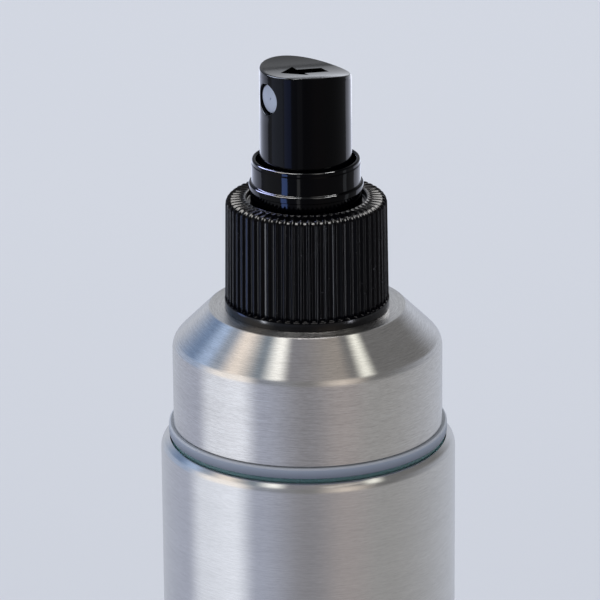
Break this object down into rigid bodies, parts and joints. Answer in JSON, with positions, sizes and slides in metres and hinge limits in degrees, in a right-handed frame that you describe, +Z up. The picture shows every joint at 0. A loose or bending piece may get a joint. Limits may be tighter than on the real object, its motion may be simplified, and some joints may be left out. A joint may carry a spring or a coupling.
{
  "type": "finger pump mist bottle",
  "caption": "Refillable mist bottle: tinted glass in a brushed steel sleeve, steel shoulder cover, ribbed screw closure, and a sprung finger pump with a swivelling nozzle button.",
  "frame": {"origin": "centre of the base's underside", "axes": "+Z up along the bottle's axis, nozzle faces -Y, X across"},
  "size_m": [0.0507, 0.0506, 0.166],
  "materials": {
    "brushed_steel_sleeve": "brushed round its axis",
    "brushed_steel_cover": "brushed round its axis, finer and glossier on the cone",
    "tinted_glass": "clear, pale green-blue",
    "grey_plastic": "matt",
    "black_foam": "matt closed-cell foam",
    "clear_rubber": "matt",
    "satin_black_plastic": "satin, moulded ribs",
    "gloss_black_plastic": "gloss",
    "gloss_black_button": "gloss",
    "pale_nozzle_plastic": "satin",
    "white_gasket": "matt",
    "natural_plastic": "translucent satin",
    "soft_plastic": "satin",
    "spring_steel": "bright drawn wire",
    "ball_steel": "polished",
    "tube_plastic": "translucent"
  },
  "bodies": {
    "bottle": {"steel_sleeve": "brushed_steel_sleeve", "base_cushion": "black_foam", "centring_band": "clear_rubber", "glass_bottle": "tinted_glass", "shoulder_cover": "brushed_steel_cover", "cover_seat_ring": "grey_plastic"},
    "closure": {"screw_closure": "satin_black_plastic"},
    "pump_unit": {"neck_gasket": "white_gasket", "pump_housing": "natural_plastic", "turret_collar": "gloss_black_plastic", "stem_guide": "natural_plastic", "return_spring": "spring_steel", "ball_cage": "natural_plastic", "dip_tube": "tube_plastic"},
    "plunger": {"stem": "natural_plastic", "piston": "soft_plastic", "spring_seat": "natural_plastic"},
    "button": {"actuator": "gloss_black_button", "nozzle_insert": "pale_nozzle_plastic"},
    "ball": {"inlet_ball": "ball_steel"}
  },
  "joints": [
    {"name": "pump_rise", "type": "slide", "parent": "bottle", "child": "pump_unit", "axis": [0, 0, 1], "range_m": [0, 0.00477]},
    {"name": "closure_turn", "type": "hinge", "parent": "pump_unit", "child": "closure", "pos_m": [0, 0, 0.1235], "axis": [0, 0, 1], "range_deg": [0, 540]},
    {"name": "button_press", "type": "slide", "parent": "pump_unit", "child": "plunger", "axis": [0, 0, -1], "range_m": [0, 0.0045], "stiffness_N_per_m": 990, "springref_m": -0.0015, "deforming": ["return_spring"]},
    {"name": "button_swivel", "type": "hinge", "parent": "plunger", "child": "button", "pos_m": [0, 0, 0.155], "axis": [0, 0, 1], "continuous": true},
    {"name": "ball_lift", "type": "slide", "parent": "pump_unit", "child": "ball", "axis": [0, 0, 1], "range_m": [0, 0.0008]}
  ],
  "couplings": [
    {"joint": "pump_rise", "follows": "closure_turn", "m_per_rad": 0.00050532}
  ]
}
